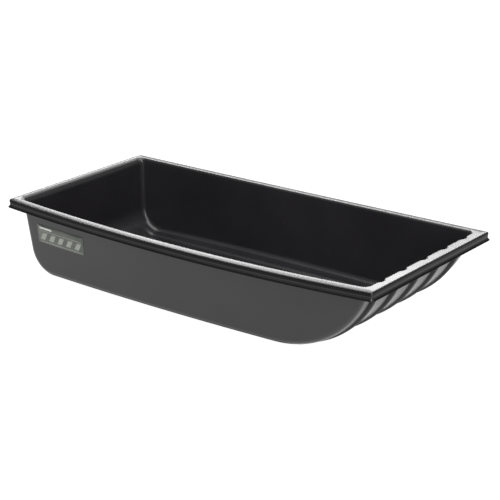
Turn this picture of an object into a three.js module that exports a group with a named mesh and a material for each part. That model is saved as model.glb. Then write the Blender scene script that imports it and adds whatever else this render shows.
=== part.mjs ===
// Ice fishing sled: an open tub moulded from one sheet of plastic, with a flat rim, a
// turned-down flared lip, a long swept-up bow and five hollow runners, and a printed
// film on the wall near its stern.
//
// Millimetres. +X is the bow and +Z is up. The origin lies under the middle of the tub,
// level with the crests of the runners, on which the sled slides.

import * as THREE from 'three';

// The tub as a whole
const rimLength = 1372;       // over the rim's edge
const rimWidth = 635;         // over the rim's edge at its corners
const tubHeight = 254;        // from the runners' crests to the rim at its corners
const sheet = 3;              // thickness of the moulded sheet
const sideBulge = 25;         // how far each long side curves out at mid-length
const rimSag = 11;            // how far the rim dips at mid-length
const edgeRadius = 20;        // outside, where a side panel turns into floor, bow and stern

// The walls. A flange is the rim's width there, from its edge to the inner face of the wall.
const bowFlange = 37;
const sternFlange = 32;
const sideFlange = 31;
const bowLean = 16;           // degrees from upright, at the rim
const sternLean = 5.5;        // degrees from upright
const sideLean = 5.5;         // degrees from upright
const bowRadius = 334;        // outside, from the bow's wall into the floor
const sternRadius = 88;       // outside, from the stern's wall into the floor

// The runners, pressed outwards along the floor and up the bow to the rim
const runnerCount = 5;
const runnerHeight = 7;
const runnerCrest = 20;       // width of the flat crest
const runnerFlank = 14;       // width of each sloping flank
const runnerMargin = 8;       // from the outermost flank to the floor's rounded edge
const runnerTail = 45;        // degrees round the stern's radius, where a runner has faded out

// The rim and its lip
const rimInnerRound = 5;      // from the wall's inner face onto the rim
const rimOuterRound = 6;      // from the rim over into the lip
const rimFlatCorner = 1.5;    // radius of the corners of the rim's flat, within that round
const lipDrop = 25;           // from the rim down to the lip's outer edge
const lipFlare = 5;           // how far that edge stands out
const lipHollow = 5;          // how far the lip's face is drawn in, at its control point
const lipWaistShares = [0.4, 0.75];   // heights of the lip's two control points

// The printed film on the right-hand wall
const labelLength = 205;
const labelHeight = 62;
const labelAft = 94;          // from the rim's edge at the stern
const labelDrop = 68;         // from the rim
const labelFilm = 0.6;
const labelGap = 0.3;

// Facets
const cornerSteps = 4;
const sideSteps = 12;
const edgeSteps = 4;
const bowSteps = 8;
const roundSteps = 3;
const lipSteps = 4;
const labelSteps = 6;

const radians = THREE.MathUtils.degToRad;
const floorHeight = runnerHeight;
const rimCorner = rimFlatCorner + rimOuterRound;

// 1 at mid-length and 0 at the ends of the rim: the curve of the long sides and of the sag.
const middleness = (x) => 1 - (2 * x / rimLength) ** 2;

// One end of the tub, seen from the side: a leaning wall that runs into the floor along an
// arc. A face is named by its depth under the outer skin, and its reach is its distance
// from mid-length.
function endProfile(flange, leanDegrees, radius, runnersFadeAt) {
  const lean = radians(leanDegrees);
  const centreHeight = floorHeight + radius;
  const wallReach = (z, depth) =>
    rimLength / 2 - flange + (sheet - depth) / Math.cos(lean) - (tubHeight - z) * Math.tan(lean);
  const tangentHeight = centreHeight - radius * Math.sin(lean);
  const centreReach = wallReach(tangentHeight, 0) - radius * Math.cos(lean);

  // Angle of the face from level, which stops growing where the arc meets the wall.
  const slope = (z, depth) =>
    Math.min(Math.acos(THREE.MathUtils.clamp((centreHeight - z) / (radius - depth), 0, 1)),
      Math.PI / 2 - lean);

  const reach = (z, depth) => {
    const arc = radius - depth;
    if (z > centreHeight - arc * Math.sin(lean)) return wallReach(z, depth);
    return centreReach + Math.sqrt(Math.max(arc ** 2 - (centreHeight - z) ** 2, 0));
  };

  const runnerShare = (z, depth) => 1 - Math.min(slope(z, depth) / runnersFadeAt, 1);

  return { lean, centreReach, slope, reach, runnerShare };
}

const bow = endProfile(bowFlange, bowLean, bowRadius, Infinity);
const stern = endProfile(sternFlange, sternLean, sternRadius, radians(runnerTail));

// Distance of a side panel's face from the middle plane.
function sideReach(x, z, depth) {
  const lean = radians(sideLean);
  const upright = rimWidth / 2 - sideFlange + (sheet - depth) / Math.cos(lean);
  return upright - (tubHeight - z) * Math.tan(lean) + sideBulge * middleness(x);
}

// The runners share the flat of the floor at its narrowest, where it meets the stern's arc.
const runnerFoot = runnerCrest / 2 + runnerFlank;
const floorHalfWidth = sideReach(-stern.centreReach, floorHeight, edgeRadius);
const runnerPitch = 2 * (floorHalfWidth - runnerMargin - runnerFoot) / (runnerCount - 1);
const runnerMiddles = Array.from({ length: runnerCount },
  (_, i) => (i - (runnerCount - 1) / 2) * runnerPitch);

// The edges of every crest and flank on the left half, from the middle outwards.
const runnerLines = runnerMiddles
  .flatMap((y) => [-runnerFoot, -runnerCrest / 2, runnerCrest / 2, runnerFoot].map((d) => y + d))
  .filter((y) => y > 0);

// How far the sheet is pressed out at this distance from the middle plane.
function runnerRise(y) {
  const fromCrest = Math.min(...runnerMiddles.map((middle) => Math.abs(y - middle)));
  const share = THREE.MathUtils.clamp((runnerFoot - fromCrest) / runnerFlank, 0, 1);
  return runnerHeight * share;
}

// A point of the sled: the whole tub sags with its rim, less and less towards the floor.
function sledPoint(x, y, z) {
  const lift = Math.max(z - floorHeight, 0) / (tubHeight - floorHeight);
  return new THREE.Vector3(x, y, z - rimSag * middleness(x) * lift);
}

// A ring is a list of points round the tub, counter-clockwise from above. It starts just
// left of the bow's middle, and its right half mirrors its left half.
function closeRing(leftHalf) {
  const mirrored = leftHalf.map((p) => new THREE.Vector3(p.x, -p.y, p.z)).reverse();
  return [...leftHalf, ...mirrored];
}

// The tub's wall at one height, on the face at this depth. The side panels meet the bow and
// the stern in a round of one radius, measured square to both. Where the ring lies on the
// rim, the runners move its points level and not square to the wall.
function wallRing(z, depth, onRim = false) {
  const round = edgeRadius - depth;
  const height = z - floorHeight - depth;
  const turn = height < round ? Math.acos(1 - height / round) : Math.PI / 2;

  const endPoints = (end, direction) => {
    const slope = end.slope(z, depth);
    const flat = runnerLines.map((y) => {
      const rise = runnerRise(y) * (end === bow ? 1 : end.runnerShare(z, depth));
      if (onRim) return sledPoint(direction * end.reach(z, depth - rise), y, z);
      const x = end.reach(z, depth) + rise * Math.sin(slope);
      return sledPoint(direction * x, y, z - rise * Math.cos(slope));
    });
    const corner = Array.from({ length: cornerSteps + 1 }, (_, i) => {
      const angle = turn * i / cornerSteps;
      const x = direction * end.reach(z, depth + round * (1 - Math.cos(angle)));
      return sledPoint(x, sideReach(x, z, depth + round * (1 - Math.sin(angle))), z);
    });
    return [...flat, ...corner];
  };

  const sideDepth = depth + round * (1 - Math.sin(turn));
  const endDepth = depth + round * (1 - Math.cos(turn));
  const foreX = bow.reach(z, endDepth);
  const aftX = -stern.reach(z, endDepth);
  const side = sideStations(foreX, aftX).map((x) => sledPoint(x, sideReach(x, z, sideDepth), z));
  return closeRing([...endPoints(bow, 1), ...side, ...endPoints(stern, -1).reverse()]);
}

// Places along a side, between its ends.
function sideStations(foreX, aftX) {
  return Array.from({ length: sideSteps - 1 },
    (_, i) => THREE.MathUtils.lerp(foreX, aftX, (i + 1) / sideSteps));
}

// The rim or its lip, this far out from the rim's edge and up from the rim.
function rimRing(out, up) {
  const z = tubHeight + up;
  const centreX = rimLength / 2 - rimCorner;
  const edge = (x) => rimWidth / 2 - rimCorner + sideBulge * middleness(x);
  const endPoints = (direction) => {
    const flat = runnerLines.map((y) => sledPoint(direction * (rimLength / 2 + out), y, z));
    const corner = Array.from({ length: cornerSteps + 1 }, (_, i) => {
      const angle = Math.PI / 2 * i / cornerSteps;
      const x = direction * (centreX + (rimCorner + out) * Math.cos(angle));
      return sledPoint(x, edge(x) + (rimCorner + out) * Math.sin(angle), z);
    });
    return [...flat, ...corner];
  };
  const side = sideStations(centreX, -centreX)
    .map((x) => sledPoint(x, edge(x) + rimCorner + out, z));
  return closeRing([...endPoints(1), ...side, ...endPoints(-1).reverse()]);
}

// Rings that round off the corner ring between two others, in a quadratic curve.
function roundedRings(from, corner, to) {
  return Array.from({ length: roundSteps + 1 }, (_, i) => {
    const t = i / roundSteps;
    return corner.map((control, k) => new THREE.QuadraticBezierCurve3(
      from[k], control, to[k]).getPoint(t));
  });
}

// Rings up the wall from just over the floor to a height under the rim: even turns round
// the edge at the floor, then even turns along the bow's arc.
function risingRings(depth, top) {
  const foot = floorHeight + depth;
  const round = edgeRadius - depth;
  const arc = bowRadius - depth;
  const firstTurn = Math.acos(1 - round / arc);
  const lastTurn = Math.PI / 2 - bow.lean;
  const edgeHeights = Array.from({ length: edgeSteps },
    (_, i) => foot + round * (1 - Math.cos(Math.PI / 2 * (i + 1) / edgeSteps)));
  const bowHeights = Array.from({ length: bowSteps }, (_, i) =>
    foot + arc * (1 - Math.cos(THREE.MathUtils.lerp(firstTurn, lastTurn, (i + 1) / bowSteps))));
  return [...edgeHeights, ...bowHeights]
    .filter((z) => z < top)
    .map((z) => wallRing(z, depth));
}

// The lip's section, outwards and up from the rim's edge, and the rings along one face of it.
const lipSection = new THREE.CubicBezierCurve(
  new THREE.Vector2(0, -rimOuterRound),
  new THREE.Vector2(0, -lipDrop * lipWaistShares[0]),
  new THREE.Vector2(-lipHollow, -lipDrop * lipWaistShares[1]),
  new THREE.Vector2(lipFlare, -lipDrop));

function lipRings(depth) {
  return Array.from({ length: lipSteps }, (_, i) => {
    const t = (i + 1) / lipSteps;
    const point = lipSection.getPoint(t);
    const along = lipSection.getTangent(t);
    return rimRing(point.x + along.y * depth, point.y - along.x * depth);
  });
}

// From the rim over its outer edge, on the face at this depth.
function rimEdgeRings(depth) {
  return roundedRings(
    rimRing(-rimOuterRound, -depth), rimRing(-depth, -depth), rimRing(-depth, -rimOuterRound));
}

// From the wall onto the rim, on the face at this depth.
function rimFootRings(depth, radius, level) {
  return roundedRings(
    wallRing(level - radius, depth), wallRing(level, depth, true),
    wallRing(level, depth - radius, true));
}

// Gathers vertices and triangles of one closed body.
class Skin {
  positions = [];
  triangles = [];

  vertex(p) {
    this.positions.push(p.x, p.y, p.z);
    return this.positions.length / 3 - 1;
  }

  ring(points) {
    return points.map((p) => this.vertex(p));
  }

  quad(a, b, c, d) {
    if (a !== b) this.triangles.push(a, b, c);
    if (c !== d) this.triangles.push(a, c, d);
  }

  // Joins two closed rings of vertices; the first lies inside the second as the face sees them.
  join(inner, outer) {
    inner.forEach((a, i) => {
      const next = (i + 1) % inner.length;
      this.quad(inner[next], a, outer[i], outer[next]);
    });
  }

  geometry() {
    const geometry = new THREE.BufferGeometry();
    geometry.setAttribute('position', new THREE.Float32BufferAttribute(this.positions, 3));
    geometry.setIndex(this.triangles);
    geometry.computeVertexNormals();
    return geometry;
  }
}

// The floor on the face at this depth, between the arcs of bow and stern, in strips along the
// runners. Gives its outline as a ring in which each corner of the floor stands for a whole
// corner of the walls.
function addFloor(skin, depth, facingUp) {
  const stations = [bow.centreReach, ...sideStations(bow.centreReach, -stern.centreReach),
    -stern.centreReach];
  const rows = stations.map((x) => {
    const halfWidth = sideReach(x, floorHeight + depth, edgeRadius);
    const half = [...runnerLines, halfWidth];
    const across = [...half.map((y) => -y).reverse(), ...half];
    return skin.ring(across.map((y) =>
      new THREE.Vector3(x, y, floorHeight + depth - (y === halfWidth ? 0 : runnerRise(y)))));
  });
  rows.slice(1).forEach((row, i) => {
    row.slice(1).forEach((corner, k) => {
      const fore = rows[i];
      if (facingUp) skin.quad(row[k], fore[k], fore[k + 1], corner);
      else skin.quad(row[k], corner, fore[k + 1], fore[k]);
    });
  });

  const leftOutline = (row) => row.slice(row.length / 2);
  const rightOutline = (row) => row.slice(0, row.length / 2);
  const corners = (vertex) => Array(cornerSteps).fill(vertex);
  const fore = rows[0];
  const aft = rows[rows.length - 1];
  const middle = rows.slice(1, -1);
  return [
    ...leftOutline(fore), ...corners(fore.at(-1)),
    ...middle.map((row) => row.at(-1)),
    ...corners(aft.at(-1)), ...leftOutline(aft).reverse(),
    ...rightOutline(aft).reverse(), ...corners(aft[0]),
    ...middle.map((row) => row[0]).reverse(),
    ...corners(fore[0]), ...rightOutline(fore),
  ];
}

// The hull is one closed body: up the inside from the floor, over the rim and down the lip,
// back up inside the lip, under the rim, and down the outside to the floor.
function hullGeometry() {
  const skin = new Skin();
  const underRim = rimInnerRound - sheet;
  const inside = [
    ...risingRings(sheet, tubHeight - rimInnerRound),
    ...rimFootRings(sheet, rimInnerRound, tubHeight),
    ...rimEdgeRings(0),
    ...lipRings(0),
  ];
  const outside = [
    ...risingRings(0, tubHeight - sheet - underRim),
    ...rimFootRings(0, underRim, tubHeight - sheet),
    ...rimEdgeRings(sheet),
    ...lipRings(sheet),
  ];
  const outlines = [
    addFloor(skin, sheet, true),
    ...inside.map((ring) => skin.ring(ring)),
    ...outside.reverse().map((ring) => skin.ring(ring)),
    addFloor(skin, 0, false),
  ];
  outlines.slice(1).forEach((outline, i) => skin.join(outlines[i], outline));
  return skin.geometry();
}

// The film follows the wall, a hair's breadth off it.
function labelGeometry() {
  const skin = new Skin();
  const aftX = labelAft - rimLength / 2;
  const top = tubHeight - labelDrop;
  const section = (x) => {
    const point = (z, depth) => sledPoint(x, -sideReach(x, z, depth), z);
    return skin.ring([
      point(top - labelHeight, -labelGap), point(top - labelHeight, -labelGap - labelFilm),
      point(top, -labelGap - labelFilm), point(top, -labelGap),
    ]);
  };
  const sections = Array.from({ length: labelSteps + 1 },
    (_, i) => section(aftX + labelLength * i / labelSteps));
  sections.slice(1).forEach((next, i) => skin.join(sections[i], next));
  const [aft, fore] = [sections[0], sections.at(-1)];
  skin.quad(aft[0], aft[1], aft[2], aft[3]);
  skin.quad(fore[3], fore[2], fore[1], fore[0]);
  return skin.geometry();
}

const plastic = new THREE.MeshStandardMaterial({ color: 0x29292b, roughness: 0.45, metalness: 0 });
const film = new THREE.MeshStandardMaterial({ color: 0x565a52, roughness: 0.35, metalness: 0 });

function piece(name, geometry, material) {
  const mesh = new THREE.Mesh(geometry, material);
  mesh.name = name;
  return mesh;
}

const sled = new THREE.Group();
sled.add(piece('hull', hullGeometry(), plastic));
sled.add(piece('side_label', labelGeometry(), film));

export default sled;
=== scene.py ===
"""Ice fishing sled: the look of the moulded tub and of the printed film on its side.

Metres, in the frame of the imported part: +X is the bow, +Y the sled's left, +Z up. The tub is
one sheet, built as rings of points from the floor up the inside, over the rim and the lip,
and down the outside to the floor again.
"""
import math

import bpy
import numpy as np
from mathutils import Matrix, Vector


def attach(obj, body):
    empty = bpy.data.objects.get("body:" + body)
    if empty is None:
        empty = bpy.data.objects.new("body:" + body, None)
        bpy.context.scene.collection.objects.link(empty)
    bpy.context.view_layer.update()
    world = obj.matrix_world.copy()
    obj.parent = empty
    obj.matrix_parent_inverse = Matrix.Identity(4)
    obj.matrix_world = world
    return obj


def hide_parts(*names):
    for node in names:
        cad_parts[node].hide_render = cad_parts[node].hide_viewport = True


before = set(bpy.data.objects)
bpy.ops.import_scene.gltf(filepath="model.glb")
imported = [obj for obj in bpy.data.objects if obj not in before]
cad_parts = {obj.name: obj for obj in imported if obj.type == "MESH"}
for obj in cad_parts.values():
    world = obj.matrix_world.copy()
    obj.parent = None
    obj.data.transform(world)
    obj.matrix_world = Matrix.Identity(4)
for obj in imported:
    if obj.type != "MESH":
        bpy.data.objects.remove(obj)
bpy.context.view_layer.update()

MM = 0.001

# Sizes of the tub
RIM_LENGTH = 1372 * MM
RIM_WIDTH = 635 * MM
TUB_HEIGHT = 254 * MM
SHEET = 3 * MM
SIDE_BULGE = 25 * MM
RIM_SAG = 11 * MM
EDGE_RADIUS = 20 * MM

BOW_FLANGE = 37 * MM
STERN_FLANGE = 32 * MM
SIDE_FLANGE = 31 * MM
BOW_LEAN = math.radians(16)
STERN_LEAN = math.radians(5.5)
SIDE_LEAN = math.radians(5.5)
BOW_RADIUS = 334 * MM
STERN_RADIUS = 88 * MM

RUNNER_COUNT = 5
RUNNER_HEIGHT = 7 * MM
RUNNER_CREST = 10 * MM
RUNNER_FLANK = 19 * MM
RUNNER_MARGIN = 8 * MM
RUNNER_TAIL = math.radians(45)

RIM_INNER_ROUND = 6.5 * MM
RIM_OUTER_ROUND = 6 * MM
RIM_FLAT_CORNER = 1.5 * MM
RIM_CROWN = 1.2 * MM
STERN_CROWN_SHARE = 0.25
STERN_ROUND = 21 * MM
RIM_CORNER = RIM_FLAT_CORNER + RIM_OUTER_ROUND
LIP_DROP = 25 * MM
LIP_FLARE = 5 * MM
LIP_HOLLOW = 5 * MM
LIP_WAIST_SHARES = (0.4, 0.75)

LABEL_LENGTH = 205 * MM
LABEL_HEIGHT = 62 * MM
LABEL_AFT = 94 * MM
LABEL_DROP = 68 * MM
LABEL_FILM = 0.6 * MM
LABEL_GAP = 0.3 * MM

# Fineness of the mesh
CORNER_STEPS = 12
SIDE_STEPS = 96
EDGE_STEPS = 10
BOW_STEPS = 30
ROUND_STEPS = 8
LIP_STEPS = 14
ROLL_STEPS = 6
FLANK_STEPS = 6
CREST_STEPS = 2
PANEL_STEPS = 4
MARGIN_STEPS = 3
FLANGE_SHARES = (0.04, 0.35, 0.65, 0.96)

FLOOR_HEIGHT = RUNNER_HEIGHT
SAME_LINE = 0.001 * MM
RING_CLEARANCE = 0.5 * MM


def middleness(x):
    """1 at mid-length and 0 at the ends of the rim."""
    return 1 - (2 * x / RIM_LENGTH) ** 2


def smooth(share):
    """A soft step from 0 to 1."""
    share = np.clip(share, 0, 1)
    return share * share * (3 - 2 * share)


class End:
    """Bow or stern from the side: a leaning wall that runs into the floor along an arc."""

    def __init__(self, flange, lean, radius, fades):
        self.flange, self.lean, self.radius, self.fades = flange, lean, radius, fades
        self.centre_height = FLOOR_HEIGHT + radius
        tangent = self.centre_height - radius * math.sin(lean)
        self.centre_reach = self.wall(tangent, 0) - radius * math.cos(lean)

    def wall(self, z, depth):
        return (RIM_LENGTH / 2 - self.flange + (SHEET - depth) / math.cos(self.lean)
                - (TUB_HEIGHT - z) * math.tan(self.lean))

    def slope(self, z, depth):
        share = np.clip((self.centre_height - z) / (self.radius - depth), 0, 1)
        return np.minimum(np.arccos(share), math.pi / 2 - self.lean)

    def reach(self, z, depth):
        depth = np.asarray(depth, float)
        arc = self.radius - depth
        below = self.centre_height - z
        curved = self.centre_reach + np.sqrt(np.clip(arc ** 2 - below ** 2, 0, None))
        return np.where(below < arc * math.sin(self.lean), self.wall(z, depth), curved)

    def runner_share(self, z, depth):
        if not self.fades:
            return 1.0
        return 1 - float(smooth(self.slope(z, depth) / RUNNER_TAIL))


BOW = End(BOW_FLANGE, BOW_LEAN, BOW_RADIUS, False)
STERN = End(STERN_FLANGE, STERN_LEAN, STERN_RADIUS, True)


def side_reach(x, z, depth):
    """Distance of a side panel's face from the middle plane."""
    upright = RIM_WIDTH / 2 - SIDE_FLANGE + (SHEET - depth) / math.cos(SIDE_LEAN)
    return upright - (TUB_HEIGHT - z) * math.tan(SIDE_LEAN) + SIDE_BULGE * middleness(x)


RUNNER_FOOT = RUNNER_CREST / 2 + RUNNER_FLANK
FLOOR_HALF = float(side_reach(-STERN.centre_reach, FLOOR_HEIGHT, EDGE_RADIUS))
RUNNER_PITCH = 2 * (FLOOR_HALF - RUNNER_MARGIN - RUNNER_FOOT) / (RUNNER_COUNT - 1)


def runner_lines():
    """Distances from the middle plane at which the left half of the floor has points."""
    ticks = [0.0]
    for i in range(RUNNER_COUNT // 2 + 1):
        middle = i * RUNNER_PITCH
        crest, foot = RUNNER_CREST / 2, RUNNER_FOOT
        flank = np.linspace(crest, foot, FLANK_STEPS + 1)
        ticks += list(middle + flank)
        ticks += list(middle + np.linspace(-crest, crest, CREST_STEPS + 1))
        if i:
            ticks += list(middle - flank)
            ticks += list(middle - RUNNER_PITCH
                          + np.linspace(foot, RUNNER_PITCH - foot, PANEL_STEPS + 1))
    ticks = sorted(t for t in ticks if t >= 0)
    return np.array([t for i, t in enumerate(ticks) if i == 0 or t - ticks[i - 1] > SAME_LINE])


LINES = runner_lines()


def runner_rise(y):
    """How far the sheet is pressed out here, with softly rounded shoulders."""
    nearest = np.round(y / RUNNER_PITCH) * RUNNER_PITCH
    return RUNNER_HEIGHT * smooth((RUNNER_FOOT - np.abs(y - nearest)) / RUNNER_FLANK)


def sled_points(x, y, z):
    """Points of the sled, which sags with its rim, less and less towards the floor."""
    x, y, z = np.broadcast_arrays(np.asarray(x, float), y, z)
    lift = np.clip(z - FLOOR_HEIGHT, 0, None) / (TUB_HEIGHT - FLOOR_HEIGHT)
    return np.stack([x, y, z - RIM_SAG * middleness(x) * lift], axis=-1)


def close_ring(left):
    """The left half of a ring, both ends on the middle plane, and its mirror image."""
    mirrored = left[1:-1][::-1] * np.array([1, -1, 1])
    return np.concatenate([left, mirrored])


def margin_shares():
    return np.arange(1, MARGIN_STEPS) / MARGIN_STEPS


def wall_ring(z, depth, on_rim=False):
    """The tub's wall at one height, on the face at this depth."""
    round_ = EDGE_RADIUS - depth
    height = z - FLOOR_HEIGHT - depth
    turn = math.acos(1 - height / round_) if height < round_ else math.pi / 2
    angles = turn * np.arange(CORNER_STEPS + 1) / CORNER_STEPS

    def end_points(end, direction):
        x = direction * end.reach(z, depth + round_ * (1 - np.cos(angles)))
        corner = sled_points(x, side_reach(x, z, depth + round_ * (1 - np.sin(angles))), z)
        flat_end = corner[0, 1]
        margin = LINES[-1] + (flat_end - LINES[-1]) * margin_shares()
        y = np.concatenate([LINES, margin])
        rise = runner_rise(y) * end.runner_share(z, depth)
        rise[len(LINES):] = 0
        if on_rim:
            flat = sled_points(direction * end.reach(z, depth - rise), y, z)
        else:
            slope = float(end.slope(z, depth))
            flat = sled_points(direction * (end.reach(z, depth) + rise * math.sin(slope)), y,
                               z - rise * math.cos(slope))
        return np.concatenate([flat, corner])

    fore_x = float(BOW.reach(z, depth + round_ * (1 - math.cos(turn))))
    aft_x = -float(STERN.reach(z, depth + round_ * (1 - math.cos(turn))))
    x = side_stations(fore_x, aft_x)
    side = sled_points(x, side_reach(x, z, depth + round_ * (1 - math.sin(turn))), z)
    return close_ring(np.concatenate([end_points(BOW, 1), side, end_points(STERN, -1)[::-1]]))


def side_stations(fore_x, aft_x):
    return fore_x + (aft_x - fore_x) * np.arange(1, SIDE_STEPS) / SIDE_STEPS


def rim_ring(out, up):
    """The rim or its lip, this far out from the rim's edge and up from the rim."""
    z = TUB_HEIGHT + up
    centre_x = RIM_LENGTH / 2 - RIM_CORNER

    def edge(x):
        return RIM_WIDTH / 2 - RIM_CORNER + SIDE_BULGE * middleness(x)

    def end_points(direction):
        angles = math.pi / 2 * np.arange(CORNER_STEPS + 1) / CORNER_STEPS
        x = direction * (centre_x + (RIM_CORNER + out) * np.cos(angles))
        corner = sled_points(x, edge(x) + (RIM_CORNER + out) * np.sin(angles), z)
        margin = LINES[-1] + (corner[0, 1] - LINES[-1]) * margin_shares()
        y = np.concatenate([LINES, margin])
        flat = sled_points(direction * (RIM_LENGTH / 2 + out), y, z)
        return np.concatenate([flat, corner])

    x = side_stations(centre_x, -centre_x)
    side = sled_points(x, edge(x) + RIM_CORNER + out, z)
    return close_ring(np.concatenate([end_points(1), side, end_points(-1)[::-1]]))


def ring_shares(bow, side, stern):
    """A value for each point of a ring, which changes softly round the corners."""
    flat = len(LINES) + len(margin_shares())
    turn = smooth(np.arange(CORNER_STEPS + 1) / CORNER_STEPS)
    half = np.concatenate([np.full(flat, bow), bow + (side - bow) * turn,
                           np.full(SIDE_STEPS - 1, side), side + (stern - side) * turn,
                           np.full(flat, stern)])
    return np.concatenate([half, half[1:-1][::-1]])[:, None]


STERN_SHARES = ring_shares(0.0, 0.0, 1.0)
CROWN_SHARES = ring_shares(0.0, 1.0, STERN_CROWN_SHARE)


def crowned(ring, share=1.0):
    """A ring of the rim's outer part, lower than its inner part on the sides and astern."""
    return ring - RIM_CROWN * share * CROWN_SHARES * np.array([0, 0, 1])


def rounded_rings(start, corner, end):
    """Rings that round off the corner ring between two others, in a quadratic curve."""
    shares = np.arange(ROUND_STEPS + 1) / ROUND_STEPS
    return [(1 - t) ** 2 * start + 2 * t * (1 - t) * corner + t ** 2 * end for t in shares]


def rising_rings(depth, top):
    """Rings up the wall: even turns round the floor's edge, then along the bow's arc."""
    foot = FLOOR_HEIGHT + depth
    round_ = EDGE_RADIUS - depth
    arc = BOW_RADIUS - depth
    first = math.acos(1 - round_ / arc)
    last = math.pi / 2 - BOW_LEAN
    edge = [foot + round_ * (1 - math.cos(math.pi / 2 * (i + 1) / EDGE_STEPS))
            for i in range(EDGE_STEPS)]
    bow = [foot + arc * (1 - math.cos(first + (last - first) * (i + 1) / BOW_STEPS))
           for i in range(BOW_STEPS)]
    return [wall_ring(z, depth) for z in edge + bow if z < top - RING_CLEARANCE]


def rim_foot_rings(depth, radius, stern_radius, level):
    """From the wall onto the rim, on the face at this depth, with a larger round astern."""
    corner = wall_ring(level, depth, True)
    tight, wide = [rounded_rings(wall_ring(level - size, depth), corner,
                                 wall_ring(level, depth - size, True))
                   for size in (radius, stern_radius)]
    return [a + (b - a) * STERN_SHARES for a, b in zip(tight, wide)]


def rim_edge_rings(depth):
    """From the rim over its outer edge, on the face at this depth."""
    start, corner, end = (rim_ring(-RIM_OUTER_ROUND, -depth), rim_ring(-depth, -depth),
                          rim_ring(-depth, -RIM_OUTER_ROUND))
    return [crowned(ring) for ring in rounded_rings(start, corner, end)]


def flange_rings(inner, outer):
    """Rings across the rim, which slopes more and more towards its outer edge."""
    rings = []
    for share in FLANGE_SHARES:
        ring = inner + (outer - inner) * share
        rings.append(crowned(ring, -share * (1 - share)))
    return rings


def lip_point(t):
    """The lip's outer face: its place and its direction, out from the rim's edge and up."""
    p = np.array([(0, -RIM_OUTER_ROUND), (0, -LIP_DROP * LIP_WAIST_SHARES[0]),
                  (-LIP_HOLLOW, -LIP_DROP * LIP_WAIST_SHARES[1]), (LIP_FLARE, -LIP_DROP)])
    s = 1 - t
    place = s ** 3 * p[0] + 3 * s * s * t * p[1] + 3 * s * t * t * p[2] + t ** 3 * p[3]
    along = s * s * (p[1] - p[0]) + 2 * s * t * (p[2] - p[1]) + t * t * (p[3] - p[2])
    return place, along / np.linalg.norm(along)


def roll_points(t):
    """The trimmed edge of the lip as a half round, from its outer to its inner face."""
    place, along = lip_point(t)
    inward = np.array([along[1], -along[0]])
    centre = place + inward * SHEET / 2
    angles = math.pi * np.arange(1, ROLL_STEPS) / ROLL_STEPS
    return [centre + SHEET / 2 * (-inward * math.cos(a) + along * math.sin(a)) for a in angles]


LIP_END_SHARES = np.linspace(1, 0.7, 61)


def lip_end():
    """How far along its curve the lip goes before its round edge would pass the CAD's box."""
    return next(t for t in LIP_END_SHARES if max(p[0] for p in roll_points(t)) <= LIP_FLARE)


LIP_END = lip_end()


def lip_rings(depth):
    rings = []
    for i in range(LIP_STEPS):
        place, along = lip_point(LIP_END * (i + 1) / LIP_STEPS)
        ring = rim_ring(place[0] + along[1] * depth, place[1] - along[0] * depth)
        rings.append(crowned(ring, 1 - (i + 1) / LIP_STEPS))
    return rings


def floor_grid(depth):
    """The floor on the face at this depth, as rows of points along its stations."""
    fore, aft = BOW.centre_reach, -STERN.centre_reach
    stations = np.concatenate([[fore], side_stations(fore, aft), [aft]])
    rows = []
    for x in stations:
        half_width = float(side_reach(x, FLOOR_HEIGHT + depth, EDGE_RADIUS))
        margin = LINES[-1] + (half_width - LINES[-1]) * margin_shares()
        half = np.concatenate([LINES, margin, [half_width]])
        y = np.concatenate([-half[1:][::-1], half])
        rise = runner_rise(y)
        rise[np.abs(y) > LINES[-1]] = 0
        rows.append(sled_points(x, y, FLOOR_HEIGHT + depth - rise))
    return np.array(rows)


class Skin:
    """Gathers the vertices and faces of one closed body."""

    def __init__(self):
        self.points = []
        self.count = 0
        self.faces = []
        self.kinds = []

    def add(self, points):
        """Adds points and gives their numbers."""
        self.points.append(points)
        numbers = np.arange(self.count, self.count + len(points))
        self.count += len(points)
        return numbers

    def quads(self, a, b, c, d, kind=0):
        """Faces from four lists of numbers, as triangles where two corners are one."""
        kinds = np.broadcast_to(kind, len(a)).tolist()
        for *quad, kind in zip(a.tolist(), b.tolist(), c.tolist(), d.tolist(), kinds):
            face = [v for i, v in enumerate(quad) if v != quad[i - 1]]
            if len(face) > 2:
                self.faces.append(face)
                self.kinds.append(kind)

    def join(self, inner, outer, kind=0):
        """Joins two closed rings; the first lies inside the second as the face sees them."""
        self.quads(np.roll(inner, -1), inner, outer, np.roll(outer, -1), kind)

    def floor(self, grid, facing_up, kind=0):
        """Adds the floor and gives its outline as a ring that fits the walls' rings."""
        count, width = grid.shape[:2]
        index = self.add(grid.reshape(-1, 3)).reshape(count, width)
        near, far = index[1:, :-1].ravel(), index[:-1, :-1].ravel()
        near_next, far_next = index[1:, 1:].ravel(), index[:-1, 1:].ravel()
        if facing_up:
            self.quads(near, far, far_next, near_next, kind)
        else:
            self.quads(near, near_next, far_next, far, kind)
        middle = width // 2
        left, right = index[:, middle:], index[:, :middle + 1][:, ::-1]

        def half(rows):
            corner = [rows[0, -1]] * CORNER_STEPS
            aft_corner = [rows[-1, -1]] * CORNER_STEPS
            return np.concatenate([rows[0], corner, rows[1:-1, -1], aft_corner, rows[-1][::-1]])

        return np.concatenate([half(left), half(right)[1:-1][::-1]])

    def mesh(self, name):
        mesh = bpy.data.meshes.new(name)
        mesh.from_pydata(np.concatenate(self.points).tolist(), [], self.faces)
        mesh.polygons.foreach_set("material_index", self.kinds)
        mesh.shade_smooth()
        mesh.validate()
        mesh.update()
        return mesh


def new_piece(name, mesh, slot, *materials):
    """A piece of the sled with its materials, riding on the one body."""
    piece = bpy.data.objects.new(name, mesh)
    bpy.context.scene.collection.objects.link(piece)
    for material in materials:
        mesh.materials.append(material)
    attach(piece, "root")
    return piece


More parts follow.
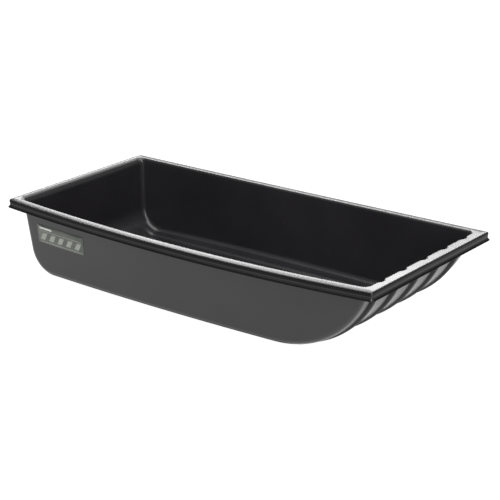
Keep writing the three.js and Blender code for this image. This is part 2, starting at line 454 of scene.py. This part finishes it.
# Kinds of the hull's faces. The lip carries painted shade on its upper part and on the outer half
# of the rim's outer round, a band painted lighter below it for light, and painted shade on its cut
# edge for the shadow line under the lip.
MOULDED, PAINTED_LIP_SHADE, PAINTED_LIP_LIGHT, CUT_EDGE_SHADE, WORN = 0, 1, 2, 3, 4
LIP_ZONES = ((0.43, PAINTED_LIP_SHADE), (0.86, PAINTED_LIP_LIGHT), (1.0, CUT_EDGE_SHADE))
ROUND_LIP_SHARE = 0.5
WORN_RINGS = 6
WORN_FLANK_SHARE = 0.8
CORNER_SHARES = (0.15, 0.85)


def corner_steps():
    """Which steps of a ring lie in the middle of a corner."""
    share = ring_shares(0.0, 1.0, 0.0)[:, 0]
    middle = (share + np.roll(share, -1)) / 2
    return (middle > CORNER_SHARES[0]) & (middle < CORNER_SHARES[1])


def runner_kinds():
    """For each step of an outside ring: worn over the runners at the bow, else moulded."""
    worn = RUNNER_CREST / 2 + RUNNER_FLANK * WORN_FLANK_SHARE
    middles = (LINES[1:] + LINES[:-1]) / 2
    nearest = np.round(middles / RUNNER_PITCH) * RUNNER_PITCH
    half = np.where(np.abs(middles - nearest) < worn, WORN, MOULDED)
    kinds = np.full(len(STERN_SHARES), MOULDED)
    kinds[:len(half)] = half
    kinds[-len(half):] = half[::-1]
    return kinds


def inside_rings():
    """Rings up the inside of the tub, across the rim and over its outer edge."""
    foot = rim_foot_rings(SHEET, RIM_INNER_ROUND, STERN_ROUND, TUB_HEIGHT)
    edge = rim_edge_rings(0)
    return [*rising_rings(SHEET, TUB_HEIGHT - STERN_ROUND), *foot,
            *flange_rings(foot[-1], edge[0]), *edge]


def outside_rings():
    """Rings up the outside of the tub, under the rim and down the inside of the lip."""
    foot = rim_foot_rings(0, RIM_INNER_ROUND - SHEET, STERN_ROUND - SHEET, TUB_HEIGHT - SHEET)
    edge = rim_edge_rings(SHEET)
    return [*rising_rings(0, TUB_HEIGHT - STERN_ROUND), *foot,
            *flange_rings(foot[-1], edge[0]), *edge, *lip_rings(SHEET)]


def inside_kinds(count):
    """Moulded up to the rim's outer round, and from its middle on the lip's painted shade, darker
    plastic standing in for shade.
    """
    lip = np.where(corner_steps(), MOULDED, PAINTED_LIP_SHADE)
    first = count - ROUND_STEPS * ROUND_LIP_SHARE
    return [lip if i > first else MOULDED for i in range(count)]


def lip_kinds():
    """The lip's kinds from its top to its foot: painted shade, then a band painted lighter for
    light, then the cut edge painted dark for the shadow line under it; its corners stay moulded.
    """
    zones = [next(kind for end, kind in LIP_ZONES if i + 1 <= LIP_STEPS * end)
             for i in range(LIP_STEPS)]
    return [np.where(corner_steps(), MOULDED, zone) for zone in zones]


def outside_kinds(count):
    """From the lip's foot to the floor: the cut edge with its painted shade, then moulded, then
    worn at the bottom.
    """
    ridges = runner_kinds()
    return [CUT_EDGE_SHADE] + [ridges] * (count - WORN_RINGS - 1) + [WORN] * (WORN_RINGS + 1)


def build_hull(*plastics):
    """The tub: floor, walls, rim, lip and runners as one closed sheet."""
    inside = inside_rings()
    outside = outside_rings()
    roll = [rim_ring(out, up) for out, up in roll_points(LIP_END)]
    skin = Skin()
    outlines = [skin.floor(floor_grid(SHEET), True)]
    outlines += [skin.add(ring) for ring in (*inside, *lip_rings(0), *roll, *outside[::-1])]
    outlines.append(skin.floor(floor_grid(0), False, WORN))
    kinds = [*inside_kinds(len(inside)), *lip_kinds(), *[CUT_EDGE_SHADE] * len(roll),
             *outside_kinds(len(outside))]
    for first, second, kind in zip(outlines, outlines[1:], kinds):
        skin.join(first, second, kind)
    hull = new_piece("hull_moulding", skin.mesh("hull_moulding"), "hull_plastic", *plastics)
    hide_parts("hull")


# The printed film
PATCH_SHARES = (0.33, 0.66)
LABEL_CORNER = 3 * MM
LABEL_EDGE = 0.15 * MM
PRINT_SINK = 0.1 * MM
PRINT_PROUD = 0.12 * MM
LABEL_MIDDLE_X = LABEL_AFT - RIM_LENGTH / 2 + LABEL_LENGTH / 2
LABEL_MIDDLE_Z = TUB_HEIGHT - LABEL_DROP - LABEL_HEIGHT / 2


def on_wall(along, up, proud):
    """A point of the right-hand wall, from the label's middle, this far off the wall."""
    x, z = LABEL_MIDDLE_X + along, LABEL_MIDDLE_Z + up
    return sled_points(x, -side_reach(x, z, -proud), z)


def outline_steps(points, step):
    """A closed outline with points no farther apart than a step."""
    fine = []
    for a, b in zip(points, np.roll(points, -1, axis=0)):
        count = max(1, math.ceil(float(np.linalg.norm(b - a)) / step))
        fine += [a + (b - a) * i / count for i in range(count)]
    return np.array(fine)


def wall_patch(skin, outline, low, high, edge=0.0):
    """A thin closed patch that follows the wall between two heights off it. The outline is
    convex and runs counter-clockwise as seen from outside the wall."""
    middle = outline.mean(axis=0)
    away = outline - middle
    bevelled = 1 - edge / np.linalg.norm(away, axis=1, keepdims=True)

    def ring(proud, share):
        shape = middle + away * share
        return skin.add(on_wall(shape[:, 0], shape[:, 1], proud))

    def hub(proud):
        centre = skin.add(on_wall(middle[0:1], middle[1:2], proud))
        return np.repeat(centre, len(outline))

    front = [hub(high)] + [ring(high, share) for share in PATCH_SHARES] + [ring(high, bevelled)]
    side = [ring(high - edge, 1.0)] if edge else []
    back = [ring(low, 1.0)] + [ring(low, share) for share in PATCH_SHARES[::-1]] + [hub(low)]
    rings = front + side + back
    for first, second in zip(rings, rings[1:]):
        skin.join(first, second)


def rounded_rectangle(length, height, corner, steps=5):
    """Points of a rectangle with round corners, counter-clockwise, about its middle."""
    points = []
    for i, (sx, sy) in enumerate(((1, -1), (1, 1), (-1, 1), (-1, -1))):
        centre = np.array([sx * (length / 2 - corner), sy * (height / 2 - corner)])
        for k in range(steps + 1):
            a = math.pi / 2 * (i - 1 + k / steps)
            points.append(centre + corner * np.array([math.cos(a), math.sin(a)]))
    return np.array(points)


def slanted_bar(along, up, length, height, slant):
    """Corners of a bar from its lower left corner; its top leans this far forward."""
    return np.array([(along, up), (along + length, up), (along + length + slant, up + height),
                     (along + slant, up + height)])


LABEL_STEP = 6 * MM
BAND_COUNT = 5
BAND_START = -92 * MM
BAND_PITCH = 38 * MM
BAND_WIDTH = 20 * MM
BAND_HEIGHT = 25 * MM
BAND_LEAN = 14 * MM
BAND_UP = -19 * MM
RULE_START = -94 * MM
RULE_HEIGHT = 1.8 * MM
RULES_UP = (-27 * MM, 10 * MM)
SHORT_BAR = 56 * MM
SHORT_BAR_HEIGHT = 6 * MM
SHORT_BAR_UP = 17 * MM


def print_bars(name, ink, bars):
    """Bars printed on the film, each given as for slanted_bar, as one piece."""
    top = LABEL_GAP + LABEL_FILM
    skin = Skin()
    for bar in bars:
        wall_patch(skin, outline_steps(slanted_bar(*bar), LABEL_STEP), top - PRINT_SINK,
                   top + PRINT_PROUD)
    new_piece(name, skin.mesh(name), "label_film", ink)


def build_label(film, ink, pale):
    """The film and its print: broad slanted bands between two rules, and a short bar."""
    skin = Skin()
    outline = outline_steps(rounded_rectangle(LABEL_LENGTH, LABEL_HEIGHT, LABEL_CORNER),
                            LABEL_STEP)
    wall_patch(skin, outline, LABEL_GAP, LABEL_GAP + LABEL_FILM, LABEL_EDGE)
    label = new_piece("label_film", skin.mesh("label_film"), "label_film", film)
    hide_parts("side_label")

    print_bars("label_bands", ink, [(BAND_START + BAND_PITCH * i, BAND_UP, BAND_WIDTH, BAND_HEIGHT,
                                     BAND_LEAN) for i in range(BAND_COUNT)])
    print_bars("label_rules", ink, [(RULE_START, up, -2 * RULE_START, RULE_HEIGHT, 0)
                                    for up in RULES_UP])
    print_bars("label_bar", pale, [(RULE_START, SHORT_BAR_UP, SHORT_BAR, SHORT_BAR_HEIGHT, 0)])


# Materials
def new_material(name):
    material = bpy.data.materials.new(name)
    material.use_nodes = True
    return material, material.node_tree, material.node_tree.nodes["Principled BSDF"]


def add_node(tree, kind, **inputs):
    node = tree.nodes.new(kind)
    for name, value in inputs.items():
        node.inputs[name.replace("_", " ")].default_value = value
    return node


def noise_from(tree, place, scale, detail, rough, stretch=(1, 1, 1)):
    """Noise on the object's own coordinates."""
    mapping = add_node(tree, "ShaderNodeMapping", Scale=stretch)
    tree.links.new(place.outputs["Object"], mapping.inputs["Vector"])
    noise = add_node(tree, "ShaderNodeTexNoise", Scale=scale, Detail=detail, Roughness=rough)
    tree.links.new(mapping.outputs["Vector"], noise.inputs["Vector"])
    return noise.outputs["Fac"]


def ranged(tree, value, old, new):
    """A value stretched from one range, given as (low, high), to another."""
    node = add_node(tree, "ShaderNodeMapRange", From_Min=old[0], From_Max=old[1],
                    To_Min=new[0], To_Max=new[1])
    tree.links.new(value, node.inputs["Value"])
    return node.outputs["Result"]


def summed(tree, first, second):
    node = tree.nodes.new("ShaderNodeMath")
    node.operation = "ADD"
    tree.links.new(first, node.inputs[0])
    tree.links.new(second, node.inputs[1])
    return node.outputs["Value"]


def mixed_colour(tree, share, first, second):
    node = tree.nodes.new("ShaderNodeMix")
    node.data_type = "RGBA"
    node.inputs[6].default_value = first
    node.inputs[7].default_value = second
    tree.links.new(share, node.inputs[0])
    return node.outputs[2]


def bump(tree, height, strength, distance, normal=None):
    node = add_node(tree, "ShaderNodeBump", Strength=strength, Distance=distance)
    tree.links.new(height, node.inputs["Height"])
    if normal is not None:
        tree.links.new(normal, node.inputs["Normal"])
    return node.outputs["Normal"]


def moulded_plastic(name, dark, light, gloss):
    """Black polyethylene: satin, with the sheet's slow ripple, a fine grain and scuffs."""
    material, tree, shader = new_material(name)
    place = tree.nodes.new("ShaderNodeTexCoord")
    patches = noise_from(tree, place, scale=5.0, detail=4.0, rough=0.55)
    scuffs = noise_from(tree, place, scale=42.0, detail=6.0, rough=0.7, stretch=(0.22, 1, 1))
    grain = noise_from(tree, place, scale=900.0, detail=2.0, rough=0.5)
    ripple = noise_from(tree, place, scale=9.0, detail=2.0, rough=0.5, stretch=(0.6, 1, 1))
    tone = ranged(tree, patches, (0.3, 0.7), (0.0, 1.0))
    tree.links.new(mixed_colour(tree, tone, dark, light), shader.inputs["Base Color"])
    rough = summed(tree, ranged(tree, patches, (0.3, 0.7), (0.21, 0.26)),
                   ranged(tree, scuffs, (0.6, 0.85), (0.0, 0.07)))
    tree.links.new(rough, shader.inputs["Roughness"])
    normal = bump(tree, grain, strength=0.02, distance=0.3 * MM)
    normal = bump(tree, ripple, strength=0.25, distance=0.6 * MM, normal=normal)
    tree.links.new(normal, shader.inputs["Normal"])
    shader.inputs["IOR"].default_value = 1.52
    shader.inputs["Specular IOR Level"].default_value = gloss
    return material


def wall_plastic():
    return moulded_plastic("moulded_plastic", (0.0137, 0.0126, 0.0141, 1),
                           (0.0183, 0.0169, 0.0187, 1), gloss=0.43)


# Painted shade: the lip is the same sheet as the walls, given a darker, duller copy of their
# plastic to stand in for the shade on it.
def lip_painted_shade():
    return moulded_plastic("lip_painted_shade", (0.005, 0.0051, 0.005, 1),
                           (0.008, 0.0081, 0.008, 1), gloss=0.07)


# Painted light: the lip's lower band, lighter than the painted shade above it, standing in for the
# light that falls there.
def lip_painted_light():
    return moulded_plastic("lip_painted_light", (0.012, 0.012, 0.0116, 1),
                           (0.018, 0.018, 0.0175, 1), gloss=0.24)


def marked_plastic(name, dark, light, fineness, stretch, gloss):
    """Duller plastic with fine marks: the lip's cut edge, painted dark for the shadow line under
    the lip, and the underside.
    """
    material, tree, shader = new_material(name)
    place = tree.nodes.new("ShaderNodeTexCoord")
    marks = noise_from(tree, place, scale=fineness, detail=3.0, rough=0.6, stretch=stretch)
    tree.links.new(mixed_colour(tree, marks, dark, light), shader.inputs["Base Color"])
    tree.links.new(ranged(tree, marks, (0.3, 0.7), (0.42, 0.6)), shader.inputs["Roughness"])
    normal = bump(tree, marks, strength=0.3, distance=0.3 * MM)
    tree.links.new(normal, shader.inputs["Normal"])
    shader.inputs["Specular IOR Level"].default_value = gloss
    return material


# Painted shade: the lip's cut edge, darkened to stand in for the shadow line under the lip.
def cut_edge_painted_shade():
    return marked_plastic("cut_edge_painted_shade", (0.004, 0.004, 0.0042, 1),
                          (0.008, 0.008, 0.0082, 1), fineness=700.0, stretch=(1, 1, 1), gloss=0.05)


def worn_plastic():
    return marked_plastic("worn_plastic", (0.014, 0.014, 0.0142, 1),
                          (0.025, 0.025, 0.0252, 1), fineness=260.0, stretch=(0.08, 1, 1),
                          gloss=0.08)


def smoked_film():
    """The smoked film: grey-green and hazy, slightly scratched."""
    material, tree, shader = new_material("smoked_film")
    place = tree.nodes.new("ShaderNodeTexCoord")
    haze = noise_from(tree, place, scale=14.0, detail=4.0, rough=0.6)
    scratches = noise_from(tree, place, scale=160.0, detail=4.0, rough=0.7, stretch=(0.1, 1, 1))
    tone = ranged(tree, haze, (0.3, 0.7), (0.0, 1.0))
    tree.links.new(mixed_colour(tree, tone, (0.045, 0.050, 0.040, 1), (0.085, 0.093, 0.078, 1)),
                   shader.inputs["Base Color"])
    tree.links.new(ranged(tree, scratches, (0.4, 0.7), (0.26, 0.40)), shader.inputs["Roughness"])
    normal = bump(tree, scratches, strength=0.1, distance=0.2 * MM)
    tree.links.new(normal, shader.inputs["Normal"])
    return material


def ink_material(name, thin, full):
    """Printed ink, worn a little thinner in fine specks."""
    material, tree, shader = new_material(name)
    place = tree.nodes.new("ShaderNodeTexCoord")
    wear = noise_from(tree, place, scale=420.0, detail=3.0, rough=0.5)
    cover = ranged(tree, wear, (0.35, 0.6), (0.0, 1.0))
    tree.links.new(mixed_colour(tree, cover, thin, full), shader.inputs["Base Color"])
    tree.links.new(ranged(tree, wear, (0.3, 0.7), (0.5, 0.35)), shader.inputs["Roughness"])
    return material


def grey_ink():
    return ink_material("grey_ink", (0.20, 0.22, 0.18, 1), (0.30, 0.32, 0.28, 1))


def pale_ink():
    return ink_material("pale_ink", (0.52, 0.53, 0.50, 1), (0.62, 0.63, 0.60, 1))


# Stage, light, camera
CAMERA_PLACE = (2.8457, -3.6938, 1.7951)
CAMERA_HEADING = math.radians(127.29)
CAMERA_DOWN = math.radians(19.56)
CAMERA_ROLL = math.radians(-0.11)
CAMERA_LENS = 115.2
CAMERA_SENSOR = 36.0
CAMERA_FAR = 100.0


def build_camera():
    """The photograph's viewpoint, as fitted to the sled's rim."""
    a, p, r = CAMERA_HEADING, CAMERA_DOWN, CAMERA_ROLL
    forward = Vector((math.cos(a) * math.cos(p), math.sin(a) * math.cos(p), -math.sin(p)))
    level = Vector((math.sin(a), -math.cos(a), 0))
    upright = level.cross(forward)
    right = level * math.cos(r) + upright * math.sin(r)
    up = upright * math.cos(r) - level * math.sin(r)
    data = bpy.data.cameras.new("camera")
    data.lens = CAMERA_LENS
    data.sensor_width = CAMERA_SENSOR
    data.clip_end = CAMERA_FAR
    camera = bpy.data.objects.new("camera", data)
    camera.matrix_world = Matrix.Translation(CAMERA_PLACE) @ Matrix(
        (right, up, -forward)).transposed().to_4x4()
    bpy.context.scene.collection.objects.link(camera)
    bpy.context.scene.camera = camera


LIGHT_AIM = (0, 0, 0.1)
WORLD_STRENGTH = 0.4


def area_light(name, heading, elevation, distance, width, height, radiance):
    """A soft box that faces the sled from this direction, in degrees."""
    a, e = math.radians(heading), math.radians(elevation)
    target = Vector(LIGHT_AIM)
    away = Vector((math.cos(a) * math.cos(e), math.sin(a) * math.cos(e), math.sin(e)))
    data = bpy.data.lights.new(name, "AREA")
    data.shape = "RECTANGLE"
    data.size, data.size_y = width, height
    data.energy = radiance * math.pi * width * height
    light = bpy.data.objects.new(name, data)
    light.matrix_world = Matrix.Translation(target + away * distance) @ away.to_track_quat(
        "Z", "Y").to_matrix().to_4x4()
    bpy.context.scene.collection.objects.link(light)


FLOOR_SIZE = 80.0
FLOOR_ALBEDO = 0.12
FLOOR_ROUGHNESS = 0.9
FLOOR_GLOW = 1.0
# Painted shadow: under the tub the floor's glow is off.
SHADE_MIDDLE = -0.06
SHADE_REACH = (0.42, 0.20)
SHADE_FADE = 0.04


def floor_glow(tree):
    """The floor's own light, which is off right under the tub."""
    place = tree.nodes.new("ShaderNodeTexCoord")
    axes = tree.nodes.new("ShaderNodeSeparateXYZ")
    tree.links.new(place.outputs["Object"], axes.inputs["Vector"])
    outside = []
    for axis, middle, reach in (("X", SHADE_MIDDLE, SHADE_REACH[0]), ("Y", 0.0, SHADE_REACH[1])):
        away = tree.nodes.new("ShaderNodeMath")
        away.operation = "SUBTRACT"
        away.inputs[1].default_value = middle
        tree.links.new(axes.outputs[axis], away.inputs[0])
        size = tree.nodes.new("ShaderNodeMath")
        size.operation = "ABSOLUTE"
        tree.links.new(away.outputs["Value"], size.inputs[0])
        outside.append(ranged(tree, size.outputs["Value"], (reach, reach + SHADE_FADE), (0, 1)))
    largest = tree.nodes.new("ShaderNodeMath")
    largest.operation = "MAXIMUM"
    tree.links.new(outside[0], largest.inputs[0])
    tree.links.new(outside[1], largest.inputs[1])
    return ranged(tree, largest.outputs["Value"], (0, 1), (0, FLOOR_GLOW))


def build_stage():
    """The pale floor, which glows, with a painted shadow where its glow is off under the tub."""
    mesh = bpy.data.meshes.new("studio_floor")
    s = FLOOR_SIZE / 2
    mesh.from_pydata([(-s, -s, 0), (s, -s, 0), (s, s, 0), (-s, s, 0)], [], [(0, 1, 2, 3)])
    floor = bpy.data.objects.new("studio_floor", mesh)
    bpy.context.scene.collection.objects.link(floor)
    material, tree, shader = new_material("studio_floor")
    shader.inputs["Base Color"].default_value = (FLOOR_ALBEDO, FLOOR_ALBEDO, FLOOR_ALBEDO, 1)
    shader.inputs["Roughness"].default_value = FLOOR_ROUGHNESS
    shader.inputs["Specular IOR Level"].default_value = 0.0
    shader.inputs["Emission Color"].default_value = (1, 1, 1, 1)
    tree.links.new(floor_glow(tree), shader.inputs["Emission Strength"])
    mesh.materials.append(material)


def build_light():
    """Soft boxes above, behind and in front of the sled, in a pale room."""
    world = bpy.data.worlds.new("studio")
    world.use_nodes = True
    background = world.node_tree.nodes["Background"]
    background.inputs["Color"].default_value = (1, 1, 1, 1)
    background.inputs["Strength"].default_value = WORLD_STRENGTH
    bpy.context.scene.world = world
    bpy.context.scene.view_settings.view_transform = "Standard"
    area_light("overhead", heading=0, elevation=89.9, distance=4.0, width=4.0, height=4.0,
               radiance=3.6)
    area_light("behind", heading=124.5, elevation=21.5, distance=10.0, width=7.6, height=1.3,
               radiance=7.1)
    area_light("behind_high", heading=118.5, elevation=38, distance=5.0, width=3.6, height=2.6,
               radiance=2.3)
    area_light("front", heading=309, elevation=34, distance=5.0, width=1.0, height=4.9,
               radiance=9.0)


build_camera()
build_stage()
build_light()
build_hull(wall_plastic(), lip_painted_shade(), lip_painted_light(), cut_edge_painted_shade(), worn_plastic())
build_label(smoked_film(), grey_ink(), pale_ink())
